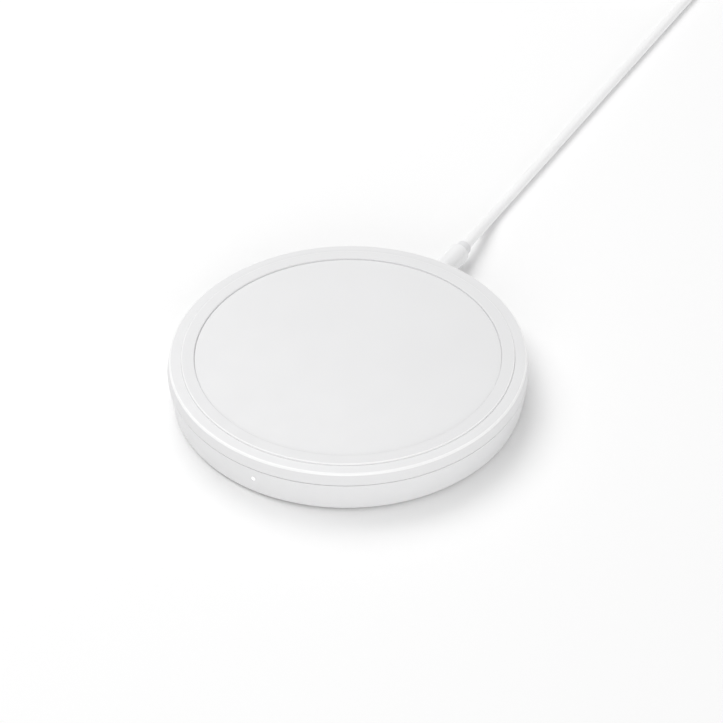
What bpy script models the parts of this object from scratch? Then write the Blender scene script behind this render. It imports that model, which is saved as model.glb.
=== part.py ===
"""A round wireless charging pad with its detachable power lead.

The pad stands on its foot ring. +Z is up, +Y points to the rear, where the lead plugs in,
and -Y to the front, where the status light is. The origin is under the middle of the pad,
on the surface that it stands on. Sizes below are in millimetres; objects are in metres.
"""

import math

import bmesh
import bpy
from mathutils import Matrix, Vector

MM = 0.001
GAP = 0.3  # clearance between pieces that touch
ROUND_STEPS = 64  # facets round the shells
FINE_STEPS = 24  # facets round small turned pieces

# Pad: outside shape, from the table up
BASE_RADIUS = 47.2
SEAM_RADIUS = 48.1
RIM_RADIUS = 47.6
FLOOR_BOTTOM = 0.5
FLOOR_TOP = 2.0
SEAM_HEIGHT = 9.3
TOP_FACE = 12.85
PAD_HEIGHT = 13.3
BASE_FILLET = 0.85
RIM_FILLET = 0.68

# Pad: inside shape
INNER_RADIUS = 45.2
LIP_RADIUS = 46.1
LIP_TOP = 10.4
CEILING = 11.35

# Grip ring on top and foot ring underneath
GRIP_INNER = 40.8
GRIP_OUTER = 44.3
GRIP_BOTTOM = 12.3
FOOT_INNER = 34.0
FOOT_OUTER = 42.5
FOOT_THICKNESS = 0.8

# Screws that hold the two shells together
SCREW_CIRCLE = 38.5
SCREW_ANGLES = (45, 135, 225, 315)
SCREW_HEAD_RADIUS = 2.0
SCREW_SHANK_RADIUS = 1.0
SCREW_HEAD_BOTTOM = 1.25
SCREW_HEAD_TOP = 2.4
SCREW_POINT = 1.2  # length of the cone at the tip
SCREW_TIP = 9.4
PILLAR_RADIUS = 4.2
PILLAR_TOP = 3.9
BOSS_RADIUS = 2.8

# Circuit board and what it carries
BOARD_RADIUS = 43.0
BOARD_BOTTOM = 4.2
BOARD_TOP = 5.2
PARTS_HEIGHT = BOARD_TOP + GAP  # underside of the parts on the board

# Transmitter coil on its ferrite plate and holder
FERRITE_SIDE = 52.0
FERRITE_BOTTOM = 6.5
FERRITE_TOP = 8.7
HOLDER_SIDE = 55.2
HOLDER_RIM_TOP = 9.2
WINDING_INNER = 10.0
WINDING_OUTER = 23.0
WINDING_BOTTOM = 9.0
WINDING_TOP = 11.0

# Power socket and the plug in it, on one axis along +Y
AXIS_HEIGHT = 4.7
JACK_BACK = 35.9
JACK_MOUTH = 44.7
JACK_HALF_WIDTH = 3.1
JACK_HALF_HEIGHT = 2.4
JACK_BORE = 2.05
JACK_BORE_END = 37.2
PLUG_TIP = 38.2
PLUG_RADIUS = 1.75
PLUG_HOLE_RADIUS = 2.35  # in the shell's wall
BOOT_FRONT = 47.9
BOOT_REAR = 63.3
BOOT_RADIUS = 2.95
COLLAR_REAR = 66.6
COLLAR_RADIUS = 2.15

# Status light in the front wall
LIGHT_HEIGHT = 5.7
LIGHT_RADIUS = 0.5
WALL_CUT = (43.0, 50.0)  # distances from the axis that a hole through the wall is cut between

# Lead: a round cord, coiled up past its straight stretch, with a USB plug on its end
CORD_RADIUS = 1.5
CORD_X = -1.9  # where the cord lies on the table, a little to the side of its plug
COIL_CENTRE = (-26.1, 252.0)
COIL_OUTER = 25.7
COIL_INNER = 10.4
COIL_HEIGHT = 6.0
TIE_ANGLE = 225
TIE_WIDTH = 7.0
TIE_THICKNESS = 0.9
USB_X = -62.0
USB_AXIS_HEIGHT = 3.9
USB_REAR = 256.0
USB_RELIEF_LENGTH = 10.0
USB_BODY_LENGTH = 21.0
USB_BODY_WIDTH = 15.6
USB_SHELL_LENGTH = 12.0
USB_SHELL_WIDTH = 12.0
USB_SHELL_HEIGHT = 4.5
USB_SHELL_WALL = 0.3

# The cord's route in millimetres: out of the strain relief, down to the table and along it
ROUTE_TO_COIL = (
    (0.0, 66.9, 4.7),
    (0.0, 69.0, 4.66),
    (-0.2, 72.0, 4.4),
    (-0.6, 76.0, 3.7),
    (-1.1, 80.0, 2.8),
    (-1.5, 84.0, 2.1),
    (-1.8, 88.0, 1.67),
    (-1.88, 92.0, 1.53),
    (CORD_X, 100.0, 1.5),
    (CORD_X, 120.0, 1.5),
    (CORD_X, 140.0, 1.5),
    (CORD_X, 160.0, 1.5),
    (CORD_X, 180.0, 1.5),
    (CORD_X, 200.0, 1.5),
    (CORD_X, 220.0, 1.5),
    (CORD_X, 239.0, 1.5),
)
# From where it leaves the coil, round to the USB plug beside it
ROUTE_TO_USB = (
    (-33.3, 278.6, 1.9),
    (-38.5, 277.9, 1.55),
    (-44.0, 275.6, 1.5),
    (-49.5, 272.2, 1.5),
    (-54.5, 268.3, 1.7),
    (-58.4, 265.0, 2.3),
    (-60.9, 261.4, 3.2),
    (-61.9, 258.6, 3.75),
    (USB_X, 256.6, USB_AXIS_HEIGHT),
)

LOOKS = {  # colour, roughness, metallic
    "white_shell": ((0.86, 0.86, 0.87), 0.38, 0.0),
    "silicone": ((0.82, 0.82, 0.83), 0.62, 0.0),
    "foot_rubber": ((0.70, 0.70, 0.71), 0.75, 0.0),
    "cord_white": ((0.85, 0.85, 0.86), 0.5, 0.0),
    "tie_grey": ((0.50, 0.50, 0.51), 0.85, 0.0),
    "light_diffuser": ((0.95, 0.95, 0.95), 0.3, 0.0),
    "black_plastic": ((0.03, 0.03, 0.03), 0.5, 0.0),
    "holder_plastic": ((0.75, 0.74, 0.70), 0.55, 0.0),
    "circuit_board": ((0.03, 0.20, 0.10), 0.4, 0.0),
    "ferrite": ((0.10, 0.10, 0.11), 0.7, 0.0),
    "copper": ((0.72, 0.38, 0.18), 0.35, 1.0),
    "steel": ((0.60, 0.60, 0.61), 0.3, 1.0),
    "nickel": ((0.75, 0.74, 0.71), 0.22, 1.0),
    "gold": ((0.83, 0.65, 0.30), 0.25, 1.0),
    "capacitor_ceramic": ((0.45, 0.30, 0.17), 0.5, 0.0),
}


def look_material(name):
    """The Principled material of that name, made once."""
    if name in bpy.data.materials:
        return bpy.data.materials[name]
    colour, roughness, metallic = LOOKS[name]
    material = bpy.data.materials.new(name)
    material.use_nodes = True
    shader = material.node_tree.nodes["Principled BSDF"]
    shader.inputs["Base Color"].default_value = (*colour, 1.0)
    shader.inputs["Roughness"].default_value = roughness
    shader.inputs["Metallic"].default_value = metallic
    return material


def empty_at(name, place):
    """A parent for one rigid group of pieces."""
    empty = bpy.data.objects.new(name, None)
    empty.location = Vector(place) * MM
    bpy.context.scene.collection.objects.link(empty)
    return empty


def add_object(name, data, look, group, place=(0, 0, 0), turn=(0, 0, 0)):
    """An object at a place in millimetres, turned by degrees, in a group."""
    data.materials.append(look_material(look))
    obj = bpy.data.objects.new(name, data)
    bpy.context.scene.collection.objects.link(obj)
    obj.parent = group
    obj.location = Vector(place) * MM - group.location
    obj.rotation_euler = [math.radians(angle) for angle in turn]
    return obj


def solid(name, bm, look, group, place=(0, 0, 0), turn=(0, 0, 0)):
    """An object from a bmesh, with smooth round faces and sharp corners."""
    bmesh.ops.recalc_face_normals(bm, faces=bm.faces)
    mesh = bpy.data.meshes.new(name)
    bm.to_mesh(mesh)
    bm.free()
    mesh.shade_smooth()
    mesh.set_sharp_from_angle(angle=math.radians(32))
    return add_object(name, mesh, look, group, place, turn)


def turned(outline, steps=ROUND_STEPS):
    """A bmesh turned about Z from (radius, height) points. An open outline ends on the axis."""
    bm = bmesh.new()
    verts = [bm.verts.new((radius * MM, 0, height * MM)) for radius, height in outline]
    edges = [bm.edges.new(pair) for pair in zip(verts, verts[1:])]
    if outline[0][0] > 0:
        edges.append(bm.edges.new((verts[-1], verts[0])))
    bmesh.ops.spin(
        bm,
        geom=verts + edges,
        cent=(0, 0, 0),
        axis=(0, 0, 1),
        angle=math.tau,
        steps=steps,
        use_merge=True,
    )
    bmesh.ops.remove_doubles(bm, verts=bm.verts, dist=1e-7)
    return bm


def arc(centre, radius, start, end, points=4):
    """Points of an arc from one angle to another, in degrees."""
    angles = [math.radians(start + (end - start) * i / points) for i in range(points + 1)]
    return [(centre[0] + radius * math.cos(a), centre[1] + radius * math.sin(a)) for a in angles]


def tube_outline(inner, outer, bottom, top):
    return [(outer, top), (outer, bottom), (inner, bottom), (inner, top)]


def rod_outline(radius, bottom, top):
    return [(0, top), (radius, top), (radius, bottom), (0, bottom)]


def block(size, centre, bevel=0.0, segments=2, upright_only=False):
    """A bmesh box; bevel rounds all its edges, or only the upright ones."""
    bm = bmesh.new()
    bmesh.ops.create_cube(bm, size=1.0)
    bmesh.ops.scale(bm, vec=Vector(size) * MM, verts=bm.verts)
    bmesh.ops.translate(bm, vec=Vector(centre) * MM, verts=bm.verts)
    if bevel:
        edges = [
            edge
            for edge in bm.edges
            if not upright_only or abs(edge.verts[0].co.z - edge.verts[1].co.z) > 1e-6
        ]
        bmesh.ops.bevel(
            bm, geom=edges, offset=bevel * MM, segments=segments, profile=0.5, affect="EDGES"
        )
    return bm


def merged(parts):
    """One bmesh that holds several, each of them a separate island."""
    whole = bmesh.new()
    for part in parts:
        mesh = bpy.data.meshes.new("merged")
        bmesh.ops.recalc_face_normals(part, faces=part.faces)
        part.to_mesh(mesh)
        part.free()
        whole.from_mesh(mesh)
        bpy.data.meshes.remove(mesh)
    return whole


def moved(bm, place):
    bmesh.ops.translate(bm, vec=Vector(place) * MM, verts=bm.verts)
    return bm


def combine(target, tool_name, bm, operation, place=(0, 0, 0), turn=(0, 0, 0)):
    """A Boolean on the target with a hidden tool, which joins or cuts it."""
    tool = solid(tool_name, bm, "steel", target.parent, place, turn)
    tool.hide_render = True
    tool.display_type = "WIRE"
    modifier = target.modifiers.new(tool_name, "BOOLEAN")
    modifier.operation = operation
    modifier.solver = "EXACT"
    modifier.object = tool


def on_screw_circle(outline, steps=FINE_STEPS):
    """The same turned piece at each screw."""
    return merged(
        moved(turned(outline, steps), (*screw_place(angle), 0)) for angle in SCREW_ANGLES
    )


def screw_place(angle):
    radians = math.radians(angle)
    return SCREW_CIRCLE * math.cos(radians), SCREW_CIRCLE * math.sin(radians)


def smooth_route(points, spacing):
    """Points about a spacing apart on the smooth curve through the given ones."""
    points = [Vector(point) for point in points]
    ends = [points[0] * 2 - points[1], *points, points[-1] * 2 - points[-2]]
    fine = []
    for a, b, c, d in zip(ends, ends[1:], ends[2:], ends[3:]):
        for i in range(16):
            t = i / 16
            slope_b, slope_c = (c - a) / 2, (d - b) / 2
            fine.append(
                b * (2 * t**3 - 3 * t**2 + 1)
                + slope_b * (t**3 - 2 * t**2 + t)
                + c * (3 * t**2 - 2 * t**3)
                + slope_c * (t**3 - t**2)
            )
    fine.append(points[-1])
    total = sum((b - a).length for a, b in zip(fine, fine[1:]))
    step = total / math.ceil(total / spacing)
    route, run = [fine[0]], 0.0
    for a, b in zip(fine, fine[1:]):
        run += (b - a).length
        if run >= step * len(route) - 1e-6:
            route.append(b)
    route[-1] = fine[-1]
    return route


def cord_tube(name, points, radius, spacing, look, group):
    """A round tube along a smooth route."""
    curve = bpy.data.curves.new(name, "CURVE")
    curve.dimensions = "3D"
    curve.bevel_depth = radius * MM
    curve.bevel_resolution = 2
    curve.use_fill_caps = True
    route = smooth_route(points, spacing)
    spline = curve.splines.new("POLY")
    spline.points.add(len(route) - 1)
    for spot, place in zip(spline.points, route):
        spot.co = (*(place * MM - group.location), 1.0)
    curve.materials.append(look_material(look))
    obj = bpy.data.objects.new(name, curve)
    bpy.context.scene.collection.objects.link(obj)
    obj.parent = group


def make_bottom_shell(pad):
    """The lower half: wall, floor, foot groove, screw pillars and the two holes in its wall."""
    groove_inner, groove_outer = FOOT_INNER - GAP, FOOT_OUTER + GAP
    groove_top = FOOT_THICKNESS + GAP
    seam = SEAM_HEIGHT - GAP / 2
    outline = [
        (0, FLOOR_TOP),
        (INNER_RADIUS, FLOOR_TOP),
        (INNER_RADIUS, LIP_TOP),
        (LIP_RADIUS, LIP_TOP),
        (LIP_RADIUS, seam),
        (SEAM_RADIUS, seam),
        *arc((BASE_RADIUS - BASE_FILLET, FLOOR_BOTTOM + BASE_FILLET), BASE_FILLET, 0, -90),
        (groove_outer, FLOOR_BOTTOM),
        (groove_outer, groove_top),
        (groove_inner, groove_top),
        (groove_inner, FLOOR_BOTTOM),
        (0, FLOOR_BOTTOM),
    ]
    shell = solid("bottom_shell", turned(outline), "white_shell", pad)
    pillars = on_screw_circle(rod_outline(PILLAR_RADIUS, (groove_top + FLOOR_TOP) / 2, PILLAR_TOP))
    combine(shell, "pillars", pillars, "UNION")
    head_hole = SCREW_HEAD_RADIUS + GAP
    shank_hole = SCREW_SHANK_RADIUS + GAP
    head_top = SCREW_HEAD_TOP + GAP
    holes = on_screw_circle(
        [
            (0, PILLAR_TOP + 1),
            (shank_hole, PILLAR_TOP + 1),
            (shank_hole, head_top),
            (head_hole, head_top),
            (head_hole, 0),
            (0, 0),
        ]
    )
    combine(shell, "screw_holes", holes, "DIFFERENCE")
    plug_hole = turned(rod_outline(PLUG_HOLE_RADIUS, *WALL_CUT), FINE_STEPS)
    combine(shell, "plug_hole", plug_hole, "DIFFERENCE", (0, 0, AXIS_HEIGHT), (-90, 0, 0))
    light_hole = turned(rod_outline(LIGHT_RADIUS + GAP, *WALL_CUT), FINE_STEPS)
    combine(shell, "light_hole", light_hole, "DIFFERENCE", (0, 0, LIGHT_HEIGHT), (90, 0, 0))


def make_top_shell(pad):
    """The cover: its skirt, its rounded rim, the grip ring's groove and the screw bosses."""
    skirt_inner = LIP_RADIUS + GAP
    seam = SEAM_HEIGHT + GAP / 2
    groove_bottom = GRIP_BOTTOM - GAP
    outline = [
        (0, TOP_FACE),
        (GRIP_INNER - GAP, TOP_FACE),
        (GRIP_INNER - GAP, groove_bottom),
        (GRIP_OUTER + GAP, groove_bottom),
        (GRIP_OUTER + GAP, TOP_FACE),
        *arc((RIM_RADIUS - RIM_FILLET, TOP_FACE - RIM_FILLET), RIM_FILLET, 90, 10),
        (SEAM_RADIUS, seam),
        (skirt_inner, seam),
        (skirt_inner, CEILING - 0.5),
        (INNER_RADIUS, CEILING),
        (0, CEILING),
    ]
    shell = solid("top_shell", turned(outline), "white_shell", pad)
    bosses = on_screw_circle(
        rod_outline(BOSS_RADIUS, PILLAR_TOP + GAP, (CEILING + groove_bottom) / 2)
    )
    combine(shell, "bosses", bosses, "UNION")
    holes = on_screw_circle(rod_outline(SCREW_SHANK_RADIUS + GAP, 0, SCREW_TIP + 0.5))
    combine(shell, "boss_holes", holes, "DIFFERENCE")


def make_rings(pad):
    """The soft ring that a phone rests on, and the foot ring that the pad stands on."""
    round_off = 0.25
    grip = [
        *arc((GRIP_OUTER - round_off, PAD_HEIGHT - round_off), round_off, 90, 0, 2),
        (GRIP_OUTER, GRIP_BOTTOM),
        (GRIP_INNER, GRIP_BOTTOM),
        *arc((GRIP_INNER + round_off, PAD_HEIGHT - round_off), round_off, 180, 90, 2),
    ]
    solid("grip_ring", turned(grip), "silicone", pad)
    foot = [
        (FOOT_OUTER, FOOT_THICKNESS),
        (FOOT_OUTER, round_off),
        (FOOT_OUTER - round_off, 0),
        (FOOT_INNER + round_off, 0),
        (FOOT_INNER, round_off),
        (FOOT_INNER, FOOT_THICKNESS),
    ]
    solid("foot_ring", turned(foot), "foot_rubber", pad)


def make_screws(pad):
    """Four pan-head screws with a cross recess, driven up from under the foot ring."""
    outline = [
        (0, SCREW_TIP),
        (SCREW_SHANK_RADIUS, SCREW_TIP - SCREW_POINT),
        (SCREW_SHANK_RADIUS, SCREW_HEAD_TOP),
        (SCREW_HEAD_RADIUS, SCREW_HEAD_TOP),
        (SCREW_HEAD_RADIUS, SCREW_HEAD_BOTTOM + 0.5),
        (SCREW_HEAD_RADIUS - 0.4, SCREW_HEAD_BOTTOM),
        (0, SCREW_HEAD_BOTTOM),
    ]
    half_width, arm, depth, below = 0.3, 1.1, 0.7, 0.5
    arm_corners = ((half_width, half_width), (arm, half_width), (arm, -half_width))
    for number, angle in enumerate(SCREW_ANGLES, 1):
        place = (*screw_place(angle), 0)
        screw = solid(f"shell_screw_{number}", turned(outline, 16), "steel", pad, place)
        cross = bmesh.new()
        verts = []
        for quarter in range(4):
            turn = Matrix.Rotation(-math.radians(90 * quarter), 4, "Z")
            for x, y in arm_corners:
                corner = turn @ Vector((x, y, SCREW_HEAD_BOTTOM - below))
                verts.append(cross.verts.new(corner * MM))
        face = cross.faces.new(verts)
        lifted = bmesh.ops.extrude_face_region(cross, geom=[face])["geom"]
        rise = Vector((0, 0, (depth + below) * MM))
        bmesh.ops.translate(
            cross, vec=rise, verts=[v for v in lifted if isinstance(v, bmesh.types.BMVert)]
        )
        combine(screw, f"cross_{number}", cross, "DIFFERENCE", place)


def make_ballast(pad):
    """The steel disc on the floor that gives the pad its weight."""
    radius, bottom, top, chamfer = 33.8, FLOOR_TOP + GAP, 3.6, 0.2
    outline = [
        (0, top),
        (radius - chamfer, top),
        (radius, top - chamfer),
        (radius, bottom),
        (0, bottom),
    ]
    solid("ballast_plate", turned(outline), "steel", pad)


def make_circuit_board(pad):
    """A round board with clearance for the screw bosses and a notch for the sunk socket."""
    board = solid(
        "circuit_board",
        turned(rod_outline(BOARD_RADIUS, BOARD_BOTTOM, BOARD_TOP)),
        "circuit_board",
        pad,
    )
    clearance, notch_length, cut = 0.4, 20, 1
    holes = on_screw_circle(
        rod_outline(BOSS_RADIUS + clearance, BOARD_BOTTOM - cut, BOARD_TOP + cut)
    )
    notch = block(
        (2 * (JACK_HALF_WIDTH + clearance), notch_length, 4),
        (0, JACK_BACK - GAP + notch_length / 2, BOARD_TOP),
    )
    combine(board, "boss_clearance", holes, "DIFFERENCE")
    combine(board, "socket_notch", notch, "DIFFERENCE")


def make_board_parts(pad):
    """The parts soldered to the top of the board, round the coil."""
    boxes = (  # name, size, middle of its underside, look
        ("controller_chip", (7.0, 7.0, 0.9), (35.0, 0.0), "black_plastic"),
        ("power_switch_1", (5.0, 6.0, 1.0), (34.0, 11.0), "black_plastic"),
        ("power_switch_2", (5.0, 6.0, 1.0), (34.0, -11.0), "black_plastic"),
        ("crystal", (3.2, 2.5, 0.8), (31.5, -19.0), "nickel"),
        ("resonance_capacitor_1", (5.6, 5.0, 2.6), (-35.0, -12.0), "capacitor_ceramic"),
        ("resonance_capacitor_2", (5.6, 5.0, 2.6), (-35.0, -4.0), "capacitor_ceramic"),
        ("resonance_capacitor_3", (5.6, 5.0, 2.6), (-35.0, 4.0), "capacitor_ceramic"),
        ("resonance_capacitor_4", (5.6, 5.0, 2.6), (-35.0, 12.0), "capacitor_ceramic"),
        ("power_inductor", (6.0, 6.0, 3.0), (-14.0, 34.0), "ferrite"),
        ("status_led", (1.6, 0.9, 0.7), (0.0, -42.3), "light_diffuser"),
    )
    for name, size, (x, y), look in boxes:
        bevel = min(0.25, size[2] / 4)
        bm = block(size, (0, 0, size[2] / 2), bevel, 1)
        solid(name, bm, look, pad, (x, y, PARTS_HEIGHT))
    can = [
        (0, 5.4),
        (2.7, 5.4),
        (3.0, 5.1),
        (3.0, 1.8),
        (2.75, 1.5),
        (3.0, 1.2),
        (3.0, 0),
        (0, 0),
    ]
    solid("input_capacitor", turned(can, FINE_STEPS), "nickel", pad, (14.0, 34.5, PARTS_HEIGHT))


def make_coil_stack(pad):
    """The holder, the ferrite plate, the winding, its sensor and its two ends."""
    base_bottom, base_top = PARTS_HEIGHT, FERRITE_BOTTOM - GAP
    height = HOLDER_RIM_TOP - base_bottom
    middle = (0, 0, base_bottom + height / 2)
    tray = block((HOLDER_SIDE, HOLDER_SIDE, height), middle, 10.0, 6, True)
    holder = solid("coil_holder", tray, "holder_plastic", pad)
    pocket_side = FERRITE_SIDE + 2 * GAP
    pocket = block((pocket_side, pocket_side, 10), (0, 0, base_top + 5), 9.0, 6, True)
    combine(holder, "ferrite_pocket", pocket, "DIFFERENCE")
    thickness = FERRITE_TOP - FERRITE_BOTTOM
    plate_middle = (0, 0, FERRITE_BOTTOM + thickness / 2)
    plate = block((FERRITE_SIDE, FERRITE_SIDE, thickness), plate_middle, 9.0, 6, True)
    solid("ferrite_plate", plate, "ferrite", pad)
    rounding = 0.8
    winding = [
        (WINDING_OUTER - rounding, WINDING_TOP),
        (WINDING_OUTER, WINDING_TOP - rounding),
        (WINDING_OUTER, WINDING_BOTTOM),
        (WINDING_INNER, WINDING_BOTTOM),
        (WINDING_INNER, WINDING_TOP - rounding),
        (WINDING_INNER + rounding, WINDING_TOP),
    ]
    solid("transmitter_coil", turned(winding, 48), "copper", pad)
    sensor = block((3.2, 1.8, 1.2), (0, 0, 0.6), 0.4, 2)
    solid("coil_thermistor", sensor, "black_plastic", pad, (0, 0, WINDING_BOTTOM))
    for name, side in (("coil_end_1", -1), ("coil_end_2", 1)):
        y = 3.0 * side
        points = (
            (-23.7, y, 10.0),
            (-26.0, y, 10.0),
            (-27.9, y, 9.9),
            (-28.8, y, 9.2),
            (-29.0, y, 8.0),
            (-29.0, y, 6.5),
            (-29.0, y, PARTS_HEIGHT),
        )
        cord_tube(name, points, 0.45, 1.2, "copper", pad)


def make_status_light(pad):
    """The pin that carries the light through the front wall, with a domed end."""
    wall_face = 47.72
    inner_end = BOARD_RADIUS + GAP
    outline = [
        (0, wall_face),
        (LIGHT_RADIUS * 0.7, wall_face - 0.08),
        (LIGHT_RADIUS, wall_face - 0.3),
        (LIGHT_RADIUS, inner_end),
        (0, inner_end),
    ]
    pin = turned(outline, 16)
    solid("light_pipe", pin, "light_diffuser", pad, (0, 0, LIGHT_HEIGHT), (90, 0, 0))


def make_power_socket(pad):
    """The socket's housing, its centre pin and the spring that presses on the plug."""
    length = JACK_MOUTH - JACK_BACK
    size = (2 * JACK_HALF_WIDTH, length, 2 * JACK_HALF_HEIGHT)
    middle = (0, JACK_BACK + length / 2, AXIS_HEIGHT)
    housing = solid("socket_housing", block(size, middle, 0.3, 1), "black_plastic", pad)
    pin_radius, slot_width = 0.5, 1.8
    bore = turned(
        [
            (0, JACK_MOUTH + 1),
            (JACK_BORE, JACK_MOUTH + 1),
            (JACK_BORE, JACK_BORE_END),
            (pin_radius + GAP, JACK_BORE_END),
            (pin_radius + GAP, JACK_BACK - 1),
            (0, JACK_BACK - 1),
        ],
        FINE_STEPS,
    )
    combine(housing, "socket_bore", bore, "DIFFERENCE", (0, 0, AXIS_HEIGHT), (-90, 0, 0))
    slot_end, slot_bottom = 43.3, AXIS_HEIGHT + 1.4
    slot = block(
        (slot_width, slot_end - JACK_BACK + 1, 3),
        (0, (slot_end + JACK_BACK - 1) / 2, slot_bottom + 1.5),
    )
    combine(housing, "spring_slot", slot, "DIFFERENCE")
    pin = [
        (0, 43.5),
        (pin_radius * 0.6, 43.5),
        (pin_radius, 43.1),
        (pin_radius, JACK_BACK + 0.2),
        (0, JACK_BACK + 0.2),
    ]
    solid("socket_pin", turned(pin, 16), "nickel", pad, (0, 0, AXIS_HEIGHT), (-90, 0, 0))
    leaf_bottom = AXIS_HEIGHT + JACK_BORE
    leaf, half_width, tail_end = 0.22, 0.6, 35.1
    side_view = (
        (42.9, leaf_bottom),
        (42.9, leaf_bottom + leaf),
        (tail_end, leaf_bottom + leaf),
        (tail_end, PARTS_HEIGHT),
        (tail_end + leaf, PARTS_HEIGHT),
        (tail_end + leaf, leaf_bottom),
    )
    bm = bmesh.new()
    verts = [bm.verts.new((-half_width * MM, y * MM, z * MM)) for y, z in side_view]
    face = bm.faces.new(verts)
    extruded = bmesh.ops.extrude_face_region(bm, geom=[face])["geom"]
    across = Vector((2 * half_width * MM, 0, 0))
    bmesh.ops.translate(
        bm, vec=across, verts=[v for v in extruded if isinstance(v, bmesh.types.BMVert)]
    )
    solid("socket_spring", bm, "nickel", pad)


def make_plug(lead):
    """The power plug: metal sleeve, insulator, inner contact, boot and strain relief."""
    along_y = (-90, 0, 0)
    axis = (0, 0, AXIS_HEIGHT)
    buried = BOOT_FRONT + 1.7
    sleeve = tube_outline(1.45, PLUG_RADIUS, PLUG_TIP + 0.55, buried)
    solid("plug_sleeve", turned(sleeve, FINE_STEPS), "nickel", lead, axis, along_y)
    flange_end = PLUG_TIP + 0.4
    insulator = [
        (1.05, buried),
        (1.3, buried),
        (1.3, flange_end),
        (PLUG_RADIUS, flange_end),
        (PLUG_RADIUS, PLUG_TIP + 0.15),
        (PLUG_RADIUS - 0.15, PLUG_TIP),
        (1.05, PLUG_TIP),
    ]
    solid("plug_insulator", turned(insulator, FINE_STEPS), "black_plastic", lead, axis, along_y)
    contact = tube_outline(0.7, 0.9, PLUG_TIP + 0.3, buried)
    solid("plug_contact", turned(contact, FINE_STEPS), "nickel", lead, axis, along_y)
    rounding, hole = 0.6, PLUG_RADIUS + GAP
    boot = [
        (0, buried + GAP),
        (hole, buried + GAP),
        (hole, BOOT_FRONT),
        (BOOT_RADIUS - 0.2, BOOT_FRONT),
        (BOOT_RADIUS, BOOT_FRONT + 0.2),
        *arc((BOOT_RADIUS - rounding, BOOT_REAR - rounding), rounding, 0, 90, 3),
        (0, BOOT_REAR),
    ]
    solid("plug_boot", turned(boot, 32), "cord_white", lead, axis, along_y)
    collar_front, taper = BOOT_REAR + GAP, 0.8
    collar = [
        (0, collar_front),
        (COLLAR_RADIUS, collar_front),
        (COLLAR_RADIUS, COLLAR_REAR - taper),
        (CORD_RADIUS + 0.15, COLLAR_REAR),
        (0, COLLAR_REAR),
    ]
    solid("strain_relief", turned(collar, 32), "cord_white", lead, axis, along_y)


def make_cord(lead):
    """The cord's straight stretch, its coil with the tie round it, and its tail."""
    cord_tube("lead_cord", ROUTE_TO_COIL, CORD_RADIUS, 7.0, "cord_white", lead)
    cord_tube("lead_tail", ROUTE_TO_USB, CORD_RADIUS, 6.0, "cord_white", lead)
    rounding = 1.2
    ring = [
        (COIL_OUTER - rounding, COIL_HEIGHT),
        (COIL_OUTER, COIL_HEIGHT - rounding),
        (COIL_OUTER, rounding),
        (COIL_OUTER - rounding, 0),
        (COIL_INNER + rounding, 0),
        (COIL_INNER, rounding),
        (COIL_INNER, COIL_HEIGHT - rounding),
        (COIL_INNER + rounding, COIL_HEIGHT),
    ]
    place = (*COIL_CENTRE, 0)
    turn = (0, 0, TIE_ANGLE)
    coil = solid("lead_coil", turned(ring, 48), "cord_white", lead, place)
    inner_end, outer_end = 9.4, COIL_OUTER + GAP
    middle = (inner_end + outer_end) / 2
    notch_height = TIE_THICKNESS + GAP
    notch = block((40, TIE_WIDTH + 2 * GAP, 4), (middle, 0, notch_height - 2))
    combine(coil, "tie_notch", notch, "DIFFERENCE", place, turn)
    window = (outer_end - inner_end, 2 * TIE_WIDTH, COIL_HEIGHT + GAP - TIE_THICKNESS)
    outside = (window[0] + 2 * TIE_THICKNESS, TIE_WIDTH, window[2] + 2 * TIE_THICKNESS)
    height = outside[2] / 2
    tie = solid(
        "cord_tie", block(outside, (middle, 0, height), 0.3, 1), "tie_grey", lead, place, turn
    )
    combine(tie, "tie_window", block(window, (middle, 0, height)), "DIFFERENCE", place, turn)


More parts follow.
